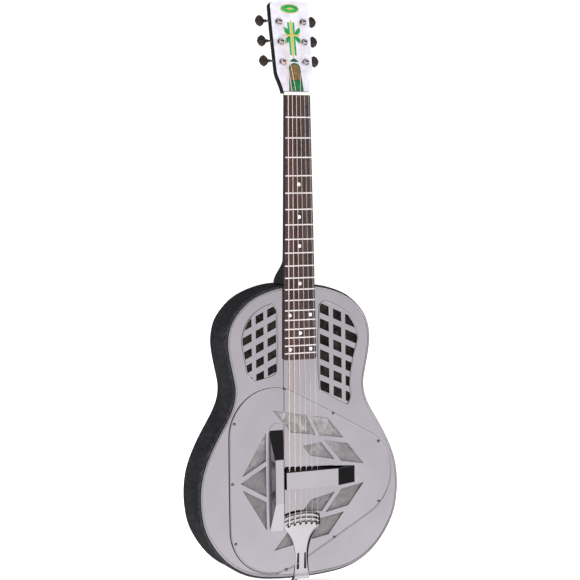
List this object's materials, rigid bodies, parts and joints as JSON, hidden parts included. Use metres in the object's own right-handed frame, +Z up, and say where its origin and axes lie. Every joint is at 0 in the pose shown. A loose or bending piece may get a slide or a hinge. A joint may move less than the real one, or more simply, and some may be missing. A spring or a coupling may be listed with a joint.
{
  "type": "resonator guitar",
  "caption": "Metal-bodied resonator guitar: lattice windows, triangular vented cover plate, T-shaped handrest, fan tailpiece and a solid headstock with geared tuners.",
  "frame": {"origin": "on the centre line, where the nut meets the fretboard, in the plane of the body's top; the guitar hangs from here by its headstock", "axes": "+Z up along the neck to the headstock, +Y from the front to the back, +X to the player's treble side"},
  "size_m": [0.3656, 0.0852, 0.9727],
  "materials": {
    "polished_face": "polished nickel-chrome plate over brass",
    "dark_coat": "fine-textured black coat",
    "bright_hardware": "polished plate",
    "button_plastic": "dark brown-black, polished",
    "screen_wire": "woven wire mesh",
    "wound_string": "bronze-wound",
    "plain_string": "plain wire",
    "black_lacquer": "black gloss lacquer over mahogany",
    "rosewood": "oiled, open grain, nickel frets",
    "bone": "polished bone",
    "pearloid": "pearl overlay",
    "spun_aluminium": "thin spun and cast aluminium",
    "maple": "bare maple"
  },
  "bodies": {
    "root": {"side_rim": "dark_coat", "back_plate": "dark_coat", "top_plate": "polished_face", "cover_plate": "polished_face", "handrest": "polished_face", "tailpiece": "polished_face", "cover_screw_1": "bright_hardware", "cover_screw_2": "bright_hardware", "cover_screw_3": "bright_hardware", "cover_screw_4": "bright_hardware", "cover_screw_5": "bright_hardware", "cover_screw_6": "bright_hardware", "cover_screw_7": "bright_hardware", "cover_screw_8": "bright_hardware", "cover_screw_9": "bright_hardware", "end_pin": "bright_hardware", "tuner_bushing_1": "bright_hardware", "tuner_bushing_2": "bright_hardware", "tuner_bushing_3": "bright_hardware", "tuner_bushing_4": "bright_hardware", "tuner_bushing_5": "bright_hardware", "tuner_bushing_6": "bright_hardware", "tuner_housing_1": "bright_hardware", "tuner_housing_2": "bright_hardware", "tuner_housing_3": "bright_hardware", "tuner_housing_4": "bright_hardware", "tuner_housing_5": "bright_hardware", "tuner_housing_6": "bright_hardware", "left_screen": "screen_wire", "right_screen": "screen_wire", "cover_screen": "screen_wire", "string_1": "wound_string", "string_2": "wound_string", "string_3": "wound_string", "string_4": "wound_string", "string_5": "plain_string", "string_6": "plain_string", "neck": "black_lacquer", "fretboard": "rosewood", "nut": "bone", "headstock_veneer": "pearloid", "cone_1": "spun_aluminium", "cone_2": "spun_aluminium", "cone_3": "spun_aluminium", "soundwell": "spun_aluminium", "t_bridge": "spun_aluminium", "saddle": "maple", "neck_stick": "maple"},
    "key_1": {"tuning_key_1": "button_plastic"},
    "post_1": {"tuner_post_1": "bright_hardware"},
    "key_2": {"tuning_key_2": "button_plastic"},
    "post_2": {"tuner_post_2": "bright_hardware"},
    "key_3": {"tuning_key_3": "button_plastic"},
    "post_3": {"tuner_post_3": "bright_hardware"},
    "key_4": {"tuning_key_4": "button_plastic"},
    "post_4": {"tuner_post_4": "bright_hardware"},
    "key_5": {"tuning_key_5": "button_plastic"},
    "post_5": {"tuner_post_5": "bright_hardware"},
    "key_6": {"tuning_key_6": "button_plastic"},
    "post_6": {"tuner_post_6": "bright_hardware"}
  },
  "joints": [
    {"name": "key_1_turn", "type": "hinge", "parent": "root", "child": "key_1", "pos_m": [-0.0383, 0.02839, 0.05762], "axis": [-1, 0, 0], "continuous": true},
    {"name": "post_1_turn", "type": "hinge", "parent": "root", "child": "post_1", "pos_m": [-0.0203, 0.00811, 0.05466], "axis": [0, -0.9833, 0.1822], "continuous": true},
    {"name": "key_2_turn", "type": "hinge", "parent": "root", "child": "key_2", "pos_m": [-0.0389, 0.03451, 0.09065], "axis": [-1, 0, 0], "continuous": true},
    {"name": "post_2_turn", "type": "hinge", "parent": "root", "child": "post_2", "pos_m": [-0.0209, 0.01423, 0.0877], "axis": [0, -0.9833, 0.1822], "continuous": true},
    {"name": "key_3_turn", "type": "hinge", "parent": "root", "child": "key_3", "pos_m": [-0.0396, 0.04065, 0.12379], "axis": [-1, 0, 0], "continuous": true},
    {"name": "post_3_turn", "type": "hinge", "parent": "root", "child": "post_3", "pos_m": [-0.0216, 0.02038, 0.12084], "axis": [0, -0.9833, 0.1822], "continuous": true},
    {"name": "key_4_turn", "type": "hinge", "parent": "root", "child": "key_4", "pos_m": [0.0383, 0.02839, 0.05762], "axis": [1, 0, 0], "continuous": true},
    {"name": "post_4_turn", "type": "hinge", "parent": "root", "child": "post_4", "pos_m": [0.0203, 0.00811, 0.05466], "axis": [0, -0.9833, 0.1822], "continuous": true},
    {"name": "key_5_turn", "type": "hinge", "parent": "root", "child": "key_5", "pos_m": [0.0389, 0.03451, 0.09065], "axis": [1, 0, 0], "continuous": true},
    {"name": "post_5_turn", "type": "hinge", "parent": "root", "child": "post_5", "pos_m": [0.0209, 0.01423, 0.0877], "axis": [0, -0.9833, 0.1822], "continuous": true},
    {"name": "key_6_turn", "type": "hinge", "parent": "root", "child": "key_6", "pos_m": [0.0396, 0.04065, 0.12379], "axis": [1, 0, 0], "continuous": true},
    {"name": "post_6_turn", "type": "hinge", "parent": "root", "child": "post_6", "pos_m": [0.0216, 0.02038, 0.12084], "axis": [0, -0.9833, 0.1822], "continuous": true}
  ],
  "couplings": [
    {"joint": "post_1_turn", "follows": "key_1_turn", "ratio": -0.071429},
    {"joint": "post_2_turn", "follows": "key_2_turn", "ratio": -0.071429},
    {"joint": "post_3_turn", "follows": "key_3_turn", "ratio": -0.071429},
    {"joint": "post_4_turn", "follows": "key_4_turn", "ratio": 0.071429},
    {"joint": "post_5_turn", "follows": "key_5_turn", "ratio": 0.071429},
    {"joint": "post_6_turn", "follows": "key_6_turn", "ratio": 0.071429}
  ]
}
